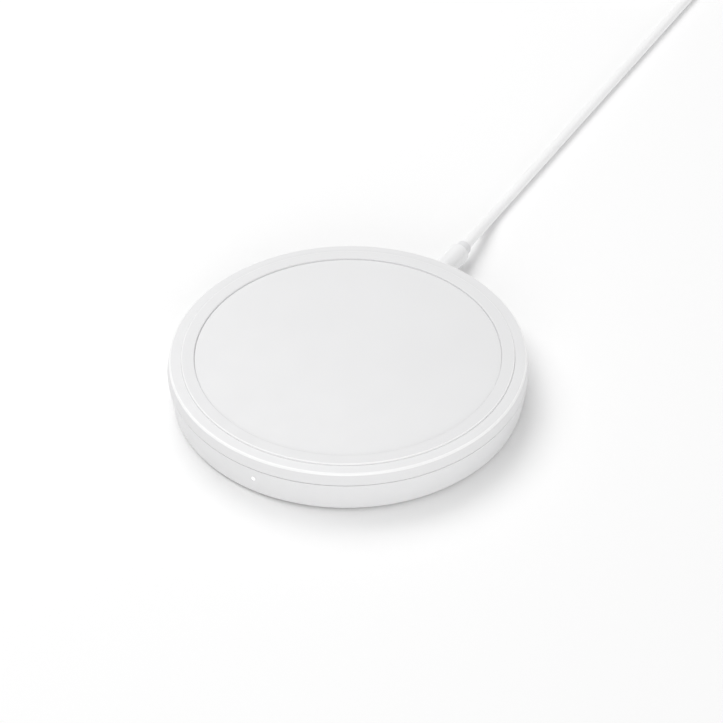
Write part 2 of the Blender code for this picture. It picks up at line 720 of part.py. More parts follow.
def make_usb_plug(lead):
    """The USB plug on the far end, lying beside the coil and pointing back along -Y."""
    along_back = (90, 0, 0)
    axis = (USB_X, 0, USB_AXIS_HEIGHT)
    relief_front = USB_REAR - USB_RELIEF_LENGTH
    relief = [
        (0, -USB_REAR),
        (CORD_RADIUS + 0.5, -USB_REAR),
        (3.3, -relief_front),
        (0, -relief_front),
    ]
    relief.reverse()
    solid("usb_strain_relief", turned(relief, 32), "cord_white", lead, axis, along_back)
    body_rear = relief_front - GAP
    body_front = body_rear - USB_BODY_LENGTH
    body_size = (USB_BODY_WIDTH, USB_BODY_LENGTH, 2 * USB_AXIS_HEIGHT)
    body_middle = (USB_X, (body_rear + body_front) / 2, USB_AXIS_HEIGHT)
    solid("usb_grip", block(body_size, (0, 0, 0), 1.6, 3), "cord_white", lead, body_middle)
    shell_rear = body_front - GAP
    shell_middle = shell_rear - USB_SHELL_LENGTH / 2
    place = (USB_X, shell_middle, USB_AXIS_HEIGHT)
    outside = (USB_SHELL_WIDTH, USB_SHELL_LENGTH, USB_SHELL_HEIGHT)
    shell = solid("usb_shell", block(outside, (0, 0, 0)), "nickel", lead, place)
    inner_width = USB_SHELL_WIDTH - 2 * USB_SHELL_WALL
    inner_height = USB_SHELL_HEIGHT - 2 * USB_SHELL_WALL
    bore = block((inner_width, 2 * USB_SHELL_LENGTH, inner_height), (0, 0, 0))
    combine(shell, "usb_bore", bore, "DIFFERENCE", place)
    window_size, window_x, window_y = (2.4, 2.2, 10), 2.6, 0.6
    windows = merged(block(window_size, (side * window_x, window_y, 0)) for side in (-1, 1))
    combine(shell, "usb_windows", windows, "DIFFERENCE", place)
    tongue_bottom = -inner_height / 2 + 0.15
    tongue_height = 1.7
    tongue_size = (inner_width - 0.4, USB_SHELL_LENGTH - 0.6, tongue_height)
    tongue_middle = (0, 0, tongue_bottom + tongue_height / 2)
    solid("usb_tongue", block(tongue_size, tongue_middle), "cord_white", lead, place)
    contact_bottom = tongue_bottom + tongue_height + 0.1
    contacts = ((-3.5, 8.6), (-1.0, 7.6), (1.0, 7.6), (3.5, 8.6))
    for number, (x, long) in enumerate(contacts, 1):
        size = (1.1, long, 0.2)
        centre = (x, (USB_SHELL_LENGTH - 0.6 - long) / 2, contact_bottom + 0.1)
        solid(f"usb_contact_{number}", block(size, centre), "gold", lead, place)


def clear_scene():
    for obj in list(bpy.data.objects):
        bpy.data.objects.remove(obj, do_unlink=True)


def main():
    clear_scene()
    pad = empty_at("pad", (0, 0, 0))
    lead = empty_at("lead", (0, BOOT_FRONT, AXIS_HEIGHT))
    for make in (
        make_bottom_shell,
        make_top_shell,
        make_rings,
        make_screws,
        make_ballast,
        make_circuit_board,
        make_board_parts,
        make_coil_stack,
        make_status_light,
        make_power_socket,
    ):
        make(pad)
    for make in (make_plug, make_cord, make_usb_plug):
        make(lead)


main()
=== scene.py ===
"""The visual model of a round wireless charging pad and its power lead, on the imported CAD.

Sizes below are in millimetres, in the CAD's own frame: +Z up, +Y to the rear where the lead
plugs in, the origin under the middle of the pad. Meshes are made in metres.
"""

import math

import bmesh
import bpy
from mathutils import Matrix, Vector


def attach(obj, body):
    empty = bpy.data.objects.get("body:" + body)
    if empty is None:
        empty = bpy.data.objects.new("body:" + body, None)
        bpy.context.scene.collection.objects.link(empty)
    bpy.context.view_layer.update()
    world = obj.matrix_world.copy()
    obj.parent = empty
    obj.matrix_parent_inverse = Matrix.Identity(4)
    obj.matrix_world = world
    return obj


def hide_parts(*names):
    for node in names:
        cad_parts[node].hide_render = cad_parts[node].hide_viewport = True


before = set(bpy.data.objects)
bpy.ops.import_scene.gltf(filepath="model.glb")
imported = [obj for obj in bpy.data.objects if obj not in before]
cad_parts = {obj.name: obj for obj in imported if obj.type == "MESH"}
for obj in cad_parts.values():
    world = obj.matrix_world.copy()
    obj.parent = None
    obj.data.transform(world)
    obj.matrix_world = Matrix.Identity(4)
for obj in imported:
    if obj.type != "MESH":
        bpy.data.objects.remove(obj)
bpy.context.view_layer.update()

MM = 0.001
ROUND_STEPS = 288  # facets round the shells and the rings
FINE_STEPS = 64  # facets round the plug and other small turned pieces

# Pad, as in the CAD but for the base and rim radii, each 0.1 less than there
BASE_RADIUS = 47.1
SEAM_RADIUS = 48.1
RIM_RADIUS = 47.5
FLOOR_BOTTOM = 0.5
FLOOR_TOP = 2.0
SEAM_HEIGHT = 9.3
TOP_FACE = 12.85
PAD_HEIGHT = 13.3
BASE_FILLET = 0.85
RIM_FILLET = 0.68
INNER_RADIUS = 45.2
LIP_RADIUS = 46.1
LIP_TOP = 10.4
CEILING = 11.35
GRIP_INNER = 40.8
GRIP_OUTER = 44.3
GROOVE_BOTTOM = 12.0
FOOT_INNER = 34.0
FOOT_OUTER = 42.5
FOOT_GROOVE_TOP = 1.05
SCREW_CIRCLE = 38.5
SCREW_ANGLES = (45, 135, 225, 315)
PILLAR_TOP = 3.9
PILLAR_RADIUS = 4.2
BOSS_RADIUS = 2.8
SHANK_HOLE_RADIUS = 1.3
HEAD_HOLE_RADIUS = 2.3
HEAD_HOLE_TOP = 2.7
THREAD_HOLE_RADIUS = 1.05
THREAD_HOLE_TOP = 9.9
PLUG_HOLE_RADIUS = 2.35
PLUG_HOLE_MOUTH = 2.62
LIGHT_HOLE_RADIUS = 0.6
WALL_CUT = (43, 50)  # distances from the axis that a hole through the wall is cut between

# Lead, as in the CAD but for the boot's front, which is 0.26 nearer the wall
AXIS_HEIGHT = 4.7
LIGHT_HEIGHT = 5.7
PLUG_TIP = 38.2
PLUG_RADIUS = 1.75
SLEEVE_BORE = 1.4
BOOT_FRONT = 47.64
BOOT_REAR = 63.3
BOOT_RADIUS = 2.95
COLLAR_REAR = 66.6
COLLAR_RADIUS = 2.15
CORD_RADIUS = 1.5
CORD_X = -1.9
COIL_CENTRE = (-26.1, 252.0)
TIE_ANGLE = 225
USB_X = -62.0
USB_AXIS_HEIGHT = 3.9
USB_RELIEF_REAR = 256.0
USB_GRIP_REAR = 245.7
USB_GRIP_FRONT = 224.7
USB_GRIP_WIDTH = 15.6
USB_SHELL_LENGTH = 12.0
USB_SHELL_WIDTH = 12.0
USB_SHELL_HEIGHT = 4.5
USB_SHELL_WALL = 0.3

# Where neighbouring pieces meet, tighter than the CAD's clearance
SEAM_GAP = 0.12
SEAT = 0.02
FLOOR_DROP = 0.02  # keeps the table clear of the faces that rest on it

ROUTE_TO_COIL = (
    (0.0, 62.9, 4.7),
    (0.0, 66.9, 4.7),
    (0.0, 69.0, 4.66),
    (-0.2, 72.0, 4.4),
    (-0.6, 76.0, 3.7),
    (-1.1, 80.0, 2.8),
    (-1.5, 84.0, 2.1),
    (-1.8, 88.0, 1.67),
    (-1.88, 92.0, 1.53),
    (CORD_X, 100.0, 1.5),
    (CORD_X, 120.0, 1.5),
    (CORD_X, 140.0, 1.5),
    (CORD_X, 160.0, 1.5),
    (CORD_X, 180.0, 1.5),
    (CORD_X, 200.0, 1.5),
    (CORD_X, 220.0, 1.5),
    (CORD_X, 239.0, 1.5),
)
# Down from the upper layer of the coil, then round to the USB plug
DOWN_FROM_COIL = ((-20.3, 276.6, 3.9), (-26.6, 278.3, 2.9))
ROUTE_TO_USB = (
    (-33.3, 278.6, 1.9),
    (-38.5, 277.9, 1.55),
    (-44.0, 275.6, 1.5),
    (-49.5, 272.2, 1.5),
    (-54.5, 268.3, 1.7),
    (-58.4, 265.0, 2.3),
    (-60.9, 261.4, 3.2),
    (-61.9, 258.6, 3.75),
    (USB_X, 256.6, USB_AXIS_HEIGHT),
    (USB_X, 254.5, USB_AXIS_HEIGHT),
)

# The cord's coil: two layers of turns, the lower wound inwards and the upper outwards
LAYER_OUTER = 24.2
LAYER_INNER = 11.9
TURN_PITCH = 3.075
LOWER_LAYER = 1.5
UPPER_LAYER = 4.5
CLIMB_START = 1440
CLIMB_END = 1550
COIL_END = 2935
TIE_LIFT = 0.8

CAMERA_TARGET = (-2.5, 11.3, 0.5)
CAMERA_DISTANCE = 596.55
CAMERA_ANGLES = (30.434, 39.852, -0.547)  # azimuth, elevation and roll, in degrees
CAMERA_LENS = 108.75
SENSOR_WIDTH = 36.0

WORLD_STRENGTH = 0.46
FLOOR_SIDE = 4.0  # in metres


# ---------------------------------------------------------------- camera


def make_camera():
    """A camera where the photographer's was: its aim, distance and angles."""
    target = Vector(CAMERA_TARGET) * MM
    distance = CAMERA_DISTANCE * MM
    azimuth, elevation, roll = (math.radians(angle) for angle in CAMERA_ANGLES)
    level = math.cos(elevation)
    back = Vector((math.sin(azimuth) * level, -math.cos(azimuth) * level, math.sin(elevation)))
    right = Vector((math.cos(azimuth), math.sin(azimuth), 0.0))
    right = right * math.cos(roll) + back.cross(right) * math.sin(roll)
    turn = Matrix((right, back.cross(right), back)).transposed()
    data = bpy.data.cameras.new("camera")
    data.lens = CAMERA_LENS
    data.sensor_width = SENSOR_WIDTH
    data.clip_start, data.clip_end = 0.01, 20.0
    camera = bpy.data.objects.new("camera", data)
    camera.matrix_world = Matrix.Translation(target + back * distance) @ turn.to_4x4()
    bpy.context.scene.collection.objects.link(camera)
    bpy.context.scene.camera = camera


# ---------------------------------------------------------------- looks


class Look:
    """A Principled material, with short calls for the procedural detail in it."""

    def __init__(self, name, roughness, metallic=0.0, **sockets):
        self.material = bpy.data.materials.new(name)
        self.material.use_nodes = True
        self.tree = self.material.node_tree
        self.shader = self.tree.nodes["Principled BSDF"]
        self.shader.inputs["Roughness"].default_value = roughness
        self.shader.inputs["Metallic"].default_value = metallic
        for socket, value in sockets.items():
            self.shader.inputs[socket.replace("_", " ")].default_value = value
        place = self.add("ShaderNodeTexCoord").outputs["Object"]
        scaled = self.add("ShaderNodeVectorMath", operation="SCALE")
        self.wire(place, scaled, "Vector")
        scaled.inputs["Scale"].default_value = 1 / MM
        self.place = scaled.outputs["Vector"]

    def add(self, kind, **settings):
        node = self.tree.nodes.new(kind)
        for name, value in settings.items():
            setattr(node, name, value)
        return node

    def wire(self, value, node, socket):
        """Links an output to a socket, or sets a plain value on it."""
        if isinstance(value, bpy.types.NodeSocket):
            self.tree.links.new(value, node.inputs[socket])
        else:
            node.inputs[socket].default_value = value

    def math(self, operation, first, second=0.0):
        node = self.add("ShaderNodeMath", operation=operation)
        self.wire(first, node, 0)
        self.wire(second, node, 1)
        return node.outputs[0]

    def spread(self, value, low, high, to_low=0.0, to_high=1.0):
        """The value between low and high, brought to another range."""
        node = self.add("ShaderNodeMapRange")
        for socket, entry in enumerate((value, low, high, to_low, to_high)):
            self.wire(entry, node, socket)
        return node.outputs[0]

    def noise(self, size, detail=2.0, place=None, stretch=(1, 1, 1)):
        """Noise with features about size millimetres across."""
        node = self.add("ShaderNodeTexNoise")
        stretched = self.add("ShaderNodeVectorMath", operation="MULTIPLY")
        self.wire(place or self.place, stretched, 0)
        self.wire(stretch, stretched, 1)
        self.wire(stretched.outputs[0], node, "Vector")
        node.inputs["Scale"].default_value = 1 / size
        node.inputs["Detail"].default_value = detail
        return node.outputs["Fac"]

    def axes(self, vector=None):
        node = self.add("ShaderNodeSeparateXYZ")
        self.wire(vector or self.place, node, 0)
        return node.outputs

    def radius(self):
        """The distance from the pad's axis, in millimetres."""
        x, y, _ = self.axes()
        squares = self.math("ADD", self.math("MULTIPLY", x, x), self.math("MULTIPLY", y, y))
        return self.math("SQRT", squares)

    def wave(self, value, period, sharp=0.0):
        """A smooth wave from 0 to 1 along a value in millimetres."""
        turned = self.math("MULTIPLY", value, math.tau / period)
        wave = self.math("MULTIPLY_ADD", self.math("SINE", turned), 0.5)
        wave.node.inputs[2].default_value = 0.5
        return self.math("POWER", wave, 1 + sharp)

    def colour(self, low, high, share):
        """The base colour, from low to high as share goes from 0 to 1."""
        mixed = self.tint(low, high, share)
        self.wire(mixed, self.shader, "Base Color")
        return mixed

    def tint(self, low, high, share):
        node = self.add("ShaderNodeMix", data_type="RGBA")
        self.wire(share, node, 0)
        for value, socket in ((low, 6), (high, 7)):
            if not isinstance(value, bpy.types.NodeSocket):
                value = (*value, 1.0)
            self.wire(value, node, socket)
        return node.outputs[2]

    def rough(self, low, high, share):
        self.wire(self.spread(share, 0.3, 0.7, low, high), self.shader, "Roughness")

    def bump(self, height, depth):
        """Relief of that depth in millimetres, over any relief already there."""
        node = self.add("ShaderNodeBump")
        node.inputs["Distance"].default_value = depth * MM
        self.wire(height, node, "Height")
        for link in self.shader.inputs["Normal"].links:
            self.wire(link.from_socket, node, "Normal")
        self.wire(node.outputs[0], self.shader, "Normal")


def moulded(name, colour, roughness, grain=0.7, depth=0.0015, mottle=0.006, **sockets):
    """Moulded plastic or rubber: a fine eroded grain, faint clouding and uneven gloss."""
    look = Look(name, roughness, **sockets)
    clouds = look.noise(16.0, 1.0)
    low = tuple(channel * (1 - mottle) for channel in colour)
    high = tuple(min(1.0, channel * (1 + mottle)) for channel in colour)
    look.paint = look.colour(low, high, look.spread(clouds, 0.3, 0.7))
    look.rough(roughness - 0.03, roughness + 0.03, look.noise(5.0, 1.0))
    look.bump(look.noise(grain, 0.0), depth)
    return look


def paint_edge_highlights(look, zones):
    """Paints highlights on the edges of a turned piece: lighter colour where light would catch
    them.
    Each zone is a colour and the radius and height ranges over which it comes in, in millimetres."""
    radius = look.radius()
    z = look.axes()[2]
    for colour, radius_from, radius_to, height_from, height_to in zones:
        # each zone lightens the colour there: a painted highlight
        share = look.math(
            "MULTIPLY",
            look.spread(radius, radius_from, radius_to),
            look.spread(z, height_from, height_to),
        )
        look.paint = look.tint(look.paint, colour, share)
    look.wire(look.paint, look.shader, "Base Color")
    return look


def metal(name, colour, roughness, stretch=(1, 1, 1), size=0.5):
    """Plated or rolled metal: fine drawn marks and slight tarnish."""
    look = Look(name, roughness, 1.0)
    marks = look.noise(size, 3.0, stretch=stretch)
    tarnish = look.spread(look.noise(3.0, 3.0), 0.3, 0.7)
    look.colour(tuple(c * 0.95 for c in colour), colour, tarnish)
    look.rough(roughness - 0.04, roughness + 0.05, marks)
    look.bump(marks, 0.0015)
    return look


def windings(name):
    """Enamelled wire wound flat round the axis, with the strands' twist along each turn."""
    look = Look(name, 0.3, 1.0)
    turns = look.wave(look.radius(), 1.05, 0.5)
    x, y, _ = look.axes()
    angle = look.math("ARCTAN2", y, x)
    turned = look.math("MULTIPLY", angle, 16.0)
    lay = look.math("ADD", turned, look.math("MULTIPLY", look.radius(), 3.0))
    strands = look.wave(lay, 0.5)
    relief = look.math("ADD", turns, look.math("MULTIPLY", strands, 0.25))
    # darker where the relief is low, down between the turns and strands: painted shade
    shade = look.tint((0.30, 0.12, 0.05), (0.80, 0.40, 0.20), look.spread(relief, 0.1, 0.9))
    look.wire(shade, look.shader, "Base Color")
    look.rough(0.30, 0.40, look.noise(2.0, 2.0))
    look.bump(relief, 0.12)
    return look


def board(name):
    """Green solder mask over copper tracks, with rows of plated through holes."""
    look = Look(name, 0.35)
    x, y, _ = look.axes()
    bend = look.math("MULTIPLY", look.noise(9.0, 0.0), 7.0)
    across = look.wave(look.math("ADD", x, bend), 1.6)
    along = look.wave(look.math("ADD", y, bend), 1.6)
    which = look.math("GREATER_THAN", look.noise(14.0, 0.0), 0.5)
    rest = look.math("SUBTRACT", 1.0, which)
    across = look.math("MULTIPLY", across, which)
    tracks = look.math("ADD", across, look.math("MULTIPLY", along, rest))
    raised = look.spread(tracks, 0.45, 0.6)
    mask = look.tint((0.012, 0.11, 0.05), (0.03, 0.24, 0.11), raised)
    row = look.math("MULTIPLY", look.wave(x, 3.2, 6.0), look.wave(y, 3.2, 6.0))
    plated = look.spread(row, 0.55, 0.65)
    look.wire(look.tint(mask, (0.75, 0.62, 0.34), plated), look.shader, "Base Color")
    look.rough(0.3, 0.42, look.noise(4.0, 2.0))
    look.bump(look.math("ADD", raised, plated), 0.035)
    return look


def sintered(name):
    """Ferrite: dark pressed powder with paler specks and pits."""
    look = Look(name, 0.6)
    powder = look.noise(0.5, 4.0)
    specks = look.spread(look.noise(0.8, 1.0), 0.62, 0.68)
    dark = look.tint((0.035, 0.035, 0.04), (0.085, 0.085, 0.09), look.spread(powder, 0.3, 0.7))
    look.wire(look.tint(dark, (0.17, 0.17, 0.18), specks), look.shader, "Base Color")
    look.rough(0.5, 0.72, powder)
    look.bump(powder, 0.03)
    return look


def chip_capacitor(name):
    """A fired ceramic body, a little mottled and glossy."""
    look = Look(name, 0.4)
    clouds = look.spread(look.noise(1.2, 3.0), 0.3, 0.7)
    look.colour((0.36, 0.22, 0.11), (0.50, 0.34, 0.19), clouds)
    look.rough(0.32, 0.5, look.noise(0.8, 2.0))
    look.bump(look.noise(0.35, 2.0), 0.01)
    return look


def woven(name, colour):
    """Brushed hook-and-loop strap: fine ribs across the weave under a short fuzzy pile."""
    look = Look(name, 0.85, Sheen_Weight=0.4, Sheen_Roughness=0.5)
    x, y, z = look.axes()
    slant = look.math("ADD", look.math("MULTIPLY", x, 0.7071), look.math("MULTIPLY", y, 0.7071))
    warp = look.wave(look.math("ADD", slant, z), 0.55)
    weft = look.wave(look.math("SUBTRACT", x, y), 0.7)
    pile = look.noise(0.25, 3.0)
    relief = look.math("ADD", look.math("MULTIPLY", warp, weft), pile)
    # the colour follows the relief, darker where the weave and pile sit low: painted shade
    shade = look.spread(relief, 0.3, 1.3)
    look.colour(tuple(c * 0.72 for c in colour), tuple(min(1.0, c * 1.2) for c in colour), shade)
    look.bump(relief, 0.06)
    return look


def make_looks():
    looks = {
        "white_shell": paint_edge_highlights(
            moulded("look_white_shell", (0.77, 0.77, 0.775), 0.34),
            (
                # painted highlight: a bright line along the rim's rounding
                ((0.95, 0.95, 0.95), 47.0, 47.15, 12.2, 12.4),
                # painted highlight: a lighter line along the rounding of the base edge, where it
                # would reflect the floor
                ((0.86, 0.86, 0.86), 46.0, 46.3, 1.25, 0.95),
            ),
        ),
        "silicone": paint_edge_highlights(
            moulded("look_silicone", (0.765, 0.765, 0.77), 0.42, 0.6, 0.002),
            # painted highlight along the grip ring's outer edge and the upper part of its outer
            # wall
            (((0.93, 0.93, 0.93), 43.95, 44.1, 12.3, 12.5),),
        ),
        "foot_rubber": moulded("look_foot_rubber", (0.62, 0.62, 0.63), 0.7, 0.5, 0.02, 0.03),
        "cord_white": moulded("look_cord_white", (0.94, 0.94, 0.942), 0.42, 0.7, 0.002),
        "boot_white": moulded("look_boot_white", (0.90, 0.90, 0.905), 0.38, 0.7, 0.002),
        # painted shade: the strain relief's white is made greyer than the boot's so the edge
        # between them shows
        "relief_white": moulded("look_relief_shaded_white", (0.80, 0.80, 0.81), 0.42, 0.7, 0.002),
        "black_plastic": moulded(
            "look_black_plastic", (0.025, 0.025, 0.027), 0.45, 0.15, 0.006, 0.2
        ),
        "holder_plastic": moulded(
            "look_holder_plastic", (0.66, 0.65, 0.60), 0.5, 0.3, 0.006, 0.03
        ),
        "light_diffuser": moulded(
            "look_light",
            (0.95, 0.95, 0.95),
            0.34,
            Emission_Color=(1, 1, 1, 1),
            Emission_Strength=0.5,
        ),
        "tie_grey": woven("look_tie_grey", (0.50, 0.50, 0.51)),
        "steel": metal("look_steel", (0.60, 0.60, 0.61), 0.36, (0.06, 1, 1)),
        "nickel": metal("look_nickel", (0.78, 0.77, 0.74), 0.2),
        "gold": metal("look_gold", (0.86, 0.64, 0.28), 0.22),
        "copper": windings("look_copper"),
        "circuit_board": board("look_circuit_board"),
        "ferrite": sintered("look_ferrite"),
        "capacitor_ceramic": chip_capacitor("look_capacitor_ceramic"),
    }
    return {name: look.material for name, look in looks.items()}


# ---------------------------------------------------------------- mesh helpers


def outline(corners, hold=0.05, step=9.0):
    """Profile points through (radius, height, fillet) corners. Each fillet becomes an arc, with
    one more point just beyond each of its ends, so that the faces beside it shade flat."""
    points = []
    for index, (x, y, fillet) in enumerate(corners):
        corner = Vector((x, y))
        if not fillet:
            points.append((x, y))
            continue
        before = (Vector(corners[index - 1][:2]) - corner).normalized()
        after = (Vector(corners[(index + 1) % len(corners)][:2]) - corner).normalized()
        half = before.angle(after) / 2
        reach = fillet / math.tan(half)
        centre = corner + (before + after).normalized() * (fillet / math.sin(half))
        start = corner + before * reach - centre
        turn = start.angle_signed(corner + after * reach - centre)
        count = max(2, math.ceil(abs(math.degrees(turn)) / step))
        points.append(tuple(corner + before * (reach + hold)))
        for i in range(count + 1):
            points.append(tuple(centre + Matrix.Rotation(-turn * i / count, 2) @ start))
        points.append(tuple(corner + after * (reach + hold)))
    return points


def lathe(points, steps=ROUND_STEPS, closed=False):
    """A bmesh turned about Z from (radius, height) points in millimetres."""
    bm = bmesh.new()
    rings = []
    for radius, height in points:
        if radius < 1e-6:
            rings.append([bm.verts.new((0, 0, height * MM))])
            continue
        angles = [math.tau * i / steps for i in range(steps)]
        rings.append(
            [
                bm.verts.new((radius * math.cos(a) * MM, radius * math.sin(a) * MM, height * MM))
                for a in angles
            ]
        )
    pairs = list(zip(rings, rings[1:]))
    if closed:
        pairs.append((rings[-1], rings[0]))
    for first, second in pairs:
        for i in range(steps):
            j = (i + 1) % steps
            corners = [first[i % len(first)], first[j % len(first)]]
            corners += [second[j % len(second)], second[i % len(second)]]
            kept = list(dict.fromkeys(corners))
            if len(kept) > 2:
                bm.faces.new(kept)
    bmesh.ops.recalc_face_normals(bm, faces=bm.faces)
    return bm


def rod(radius, bottom, top, steps=FINE_STEPS):
    return lathe([(0, top), (radius, top), (radius, bottom), (0, bottom)], steps)


def along_y(bm, x=0.0, z=AXIS_HEIGHT):
    """A turned bmesh laid along +Y at that height."""
    bm.transform(Matrix.Translation(Vector((x, 0, z)) * MM) @ Matrix.Rotation(-math.pi / 2, 4, "X"))
    return bm


def along_minus_y(bm, x=0.0, z=AXIS_HEIGHT):
    bm.transform(Matrix.Translation(Vector((x, 0, z)) * MM) @ Matrix.Rotation(math.pi / 2, 4, "X"))
    return bm


def shifted(bm, x, y, z=0.0):
    bm.transform(Matrix.Translation(Vector((x, y, z)) * MM))
    return bm


def to_mesh(name, bm):
    mesh = bpy.data.meshes.new(name)
    bm.to_mesh(mesh)
    bm.free()
    return mesh


def finish_mesh(mesh, angle=30):
    mesh.shade_smooth()
    mesh.set_sharp_from_angle(angle=math.radians(angle))


def piece(name, bm, look, body, replaces=()):
    """A new visible piece, riding on a body, with a look and the CAD nodes it stands for."""
    mesh = to_mesh(name, bm)
    finish_mesh(mesh)
    mesh.materials.append(LOOKS[look])
    obj = bpy.data.objects.new(name, mesh)
    bpy.context.scene.collection.objects.link(obj)
    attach(obj, body)
    if replaces:
        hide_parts(*replaces)
    return obj


def carve(obj, tools, operation="DIFFERENCE"):
    """Cuts each tool from the piece, or joins it on, and keeps the result as its mesh."""
    look = obj.data.materials[0]
    for bm in tools:
        tool = bpy.data.objects.new("tool", to_mesh("tool", bm))
        bpy.context.scene.collection.objects.link(tool)
        modifier = obj.modifiers.new("carve", "BOOLEAN")
        modifier.operation = operation
        modifier.solver = "EXACT"
        modifier.object = tool
        graph = bpy.context.evaluated_depsgraph_get()
        result = bpy.data.meshes.new_from_object(obj.evaluated_get(graph))
        obj.modifiers.clear()
        obj.data = result
        bpy.data.objects.remove(tool)
    obj.data.materials.clear()
    obj.data.materials.append(look)
    finish_mesh(obj.data)


def at_screws(make):
    """One tool at each screw."""
    tools = []
    for angle in SCREW_ANGLES:
        radians = math.radians(angle)
        x, y = SCREW_CIRCLE * math.cos(radians), SCREW_CIRCLE * math.sin(radians)
        tools.append(shifted(make(), x, y))
    return tools


# ---------------------------------------------------------------- pad


def make_bottom_shell():
    groove_in, groove_out = FOOT_INNER - SEAT, FOOT_OUTER + SEAT
    seam = SEAM_HEIGHT - SEAM_GAP / 2
    profile = outline(
        [
            (0, FLOOR_TOP, 0),
            (INNER_RADIUS, FLOOR_TOP, 0.6),
            (INNER_RADIUS, LIP_TOP, 0.12),
            (LIP_RADIUS, LIP_TOP, 0.12),
            (LIP_RADIUS, seam, 0),
            (SEAM_RADIUS, seam, 0.14),
            (BASE_RADIUS, FLOOR_BOTTOM, BASE_FILLET),
            (groove_out, FLOOR_BOTTOM, 0.1),
            (groove_out, FOOT_GROOVE_TOP, 0.1),
            (groove_in, FOOT_GROOVE_TOP, 0.1),
            (groove_in, FLOOR_BOTTOM, 0.1),
            (0, FLOOR_BOTTOM, 0),
        ]
    )
    shell = piece("v_bottom_shell", lathe(profile), "white_shell", "pad", ["bottom_shell"])
    carve(shell, at_screws(lambda: rod(PILLAR_RADIUS, 1.5, PILLAR_TOP)), "UNION")
    screw_hole = [
        (0, 5),
        (SHANK_HOLE_RADIUS, 5),
        (SHANK_HOLE_RADIUS, HEAD_HOLE_TOP),
        (HEAD_HOLE_RADIUS, HEAD_HOLE_TOP),
        (HEAD_HOLE_RADIUS, 0),
        (0, 0),
    ]
    carve(shell, at_screws(lambda: lathe(screw_hole, FINE_STEPS)))
    near, far = WALL_CUT
    plug_hole = [
        (0, far),
        (PLUG_HOLE_MOUTH, far),
        (PLUG_HOLE_MOUTH, 47.42),
        (PLUG_HOLE_RADIUS, 47.2),
        (PLUG_HOLE_RADIUS, near),
        (0, near),
    ]
    light_hole = [(0, far), (LIGHT_HOLE_RADIUS, far), (LIGHT_HOLE_RADIUS, near), (0, near)]
    carve(
        shell,
        [
            along_y(lathe(plug_hole, FINE_STEPS)),
            along_minus_y(lathe(light_hole, FINE_STEPS), z=LIGHT_HEIGHT),
        ],
    )


def make_top_shell():
    groove_in, groove_out = GRIP_INNER - SEAT, GRIP_OUTER + SEAT
    skirt = LIP_RADIUS + SEAT
    seam = SEAM_HEIGHT + SEAM_GAP / 2
    profile = outline(
        [
            (0, TOP_FACE, 0),
            (groove_in, TOP_FACE, 0.12),
            (groove_in, GROOVE_BOTTOM, 0),
            (groove_out, GROOVE_BOTTOM, 0),
            (groove_out, TOP_FACE, 0.04),
            (RIM_RADIUS, TOP_FACE, RIM_FILLET),
            (SEAM_RADIUS, seam, 0.14),
            (skirt, seam, 0),
            (skirt, CEILING - 0.5, 0),
            (INNER_RADIUS, CEILING, 0),
            (0, CEILING, 0),
        ]
    )
    shell = piece("v_top_shell", lathe(profile), "white_shell", "pad", ["top_shell"])
    carve(shell, at_screws(lambda: rod(BOSS_RADIUS, PILLAR_TOP + 0.1, CEILING + 0.3)), "UNION")
    carve(shell, at_screws(lambda: rod(THREAD_HOLE_RADIUS, 0, THREAD_HOLE_TOP)))


def make_rings():
    grip = outline(
        [
            (GRIP_INNER, PAD_HEIGHT, 0.3),
            (GRIP_INNER, GROOVE_BOTTOM + 0.02, 0),
            (GRIP_OUTER, GROOVE_BOTTOM + 0.02, 0),
            (GRIP_OUTER, PAD_HEIGHT, 0.3),
        ]
    )
    piece("v_grip_ring", lathe(grip, closed=True), "silicone", "pad", ["grip_ring"])
    foot = outline(
        [
            (FOOT_OUTER, 0, 0.3),
            (FOOT_OUTER, FOOT_GROOVE_TOP - 0.02, 0.15),
            (FOOT_INNER, FOOT_GROOVE_TOP - 0.02, 0.15),
            (FOOT_INNER, 0, 0.3),
        ]
    )
    piece("v_foot_ring", lathe(foot, closed=True), "foot_rubber", "pad", ["foot_ring"])


def make_light_pipe():
    dome = [(0, 47.8), (0.2, 47.79), (0.36, 47.74), (0.46, 47.66), (0.5, 47.52)]
    pin = [*dome, (0.5, 43.3), (0, 43.3)]
    bm = along_minus_y(lathe(pin, FINE_STEPS), z=LIGHT_HEIGHT)
    piece("v_light_pipe", bm, "light_diffuser", "pad", ["light_pipe"])


# ---------------------------------------------------------------- lead


